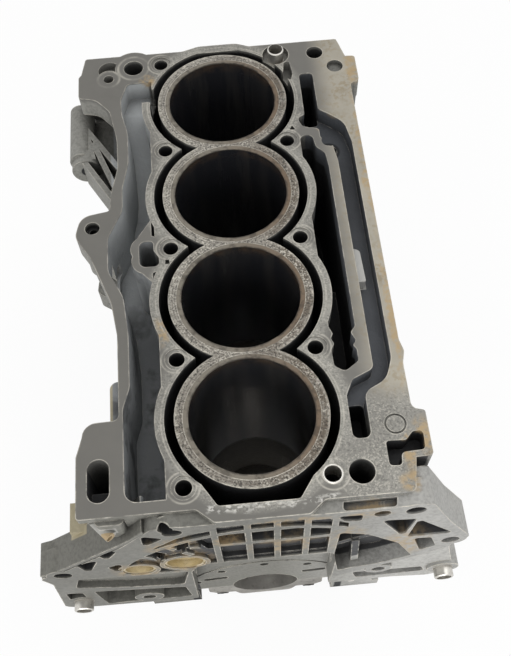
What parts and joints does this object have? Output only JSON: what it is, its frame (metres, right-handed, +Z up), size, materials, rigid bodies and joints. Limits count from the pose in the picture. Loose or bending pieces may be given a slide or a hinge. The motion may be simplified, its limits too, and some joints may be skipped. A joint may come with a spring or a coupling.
{
  "type": "engine block",
  "caption": "Open-deck light-alloy block of a small inline engine, with cast-in iron bore liners, bearing caps and a ribbed gearbox flange; no head, crankshaft or oil pan.",
  "frame": {"origin": "on the crankshaft axis, in the middle of the third main bearing", "axes": "+Z up to the head face, +Y towards the timing end, +X across the engine to the side away from the long oil channel"},
  "size_m": [0.2839, 0.372, 0.253],
  "materials": {
    "die_cast_aluminium": "die-cast skin, stained, with worn machined faces",
    "grey_iron": "honed cast-in liners",
    "cap_iron": "cast bearing caps, machined on the joint faces",
    "bolt_steel": "dark phosphated steel",
    "dowel_steel": "ground spring steel",
    "plug_steel": "yellow-passivated pressed steel",
    "jet_steel": "bright turned steel"
  },
  "bodies": {
    "root": {"cylinder_block": "die_cast_aluminium", "cylinder_liner_1": "grey_iron", "piston_jet_1": "jet_steel", "cylinder_liner_2": "grey_iron", "piston_jet_2": "jet_steel", "cylinder_liner_3": "grey_iron", "piston_jet_3": "jet_steel", "cylinder_liner_4": "grey_iron", "piston_jet_4": "jet_steel", "main_bearing_cap_1": "cap_iron", "main_cap_bolt_1_left": "bolt_steel", "main_cap_bolt_1_right": "bolt_steel", "main_bearing_cap_2": "cap_iron", "main_cap_bolt_2_left": "bolt_steel", "main_cap_bolt_2_right": "bolt_steel", "main_bearing_cap_3": "cap_iron", "main_cap_bolt_3_left": "bolt_steel", "main_cap_bolt_3_right": "bolt_steel", "main_bearing_cap_4": "cap_iron", "main_cap_bolt_4_left": "bolt_steel", "main_cap_bolt_4_right": "bolt_steel", "main_bearing_cap_5": "cap_iron", "main_cap_bolt_5_left": "bolt_steel", "main_cap_bolt_5_right": "bolt_steel", "deck_dowel_front": "dowel_steel", "deck_dowel_rear": "dowel_steel", "gearbox_dowel_left": "dowel_steel", "gearbox_dowel_right": "dowel_steel", "core_plug_large": "plug_steel", "core_plug_small": "plug_steel", "seal_carrier_pin_left": "dowel_steel", "seal_carrier_pin_right": "dowel_steel"}
  },
  "joints": []
}
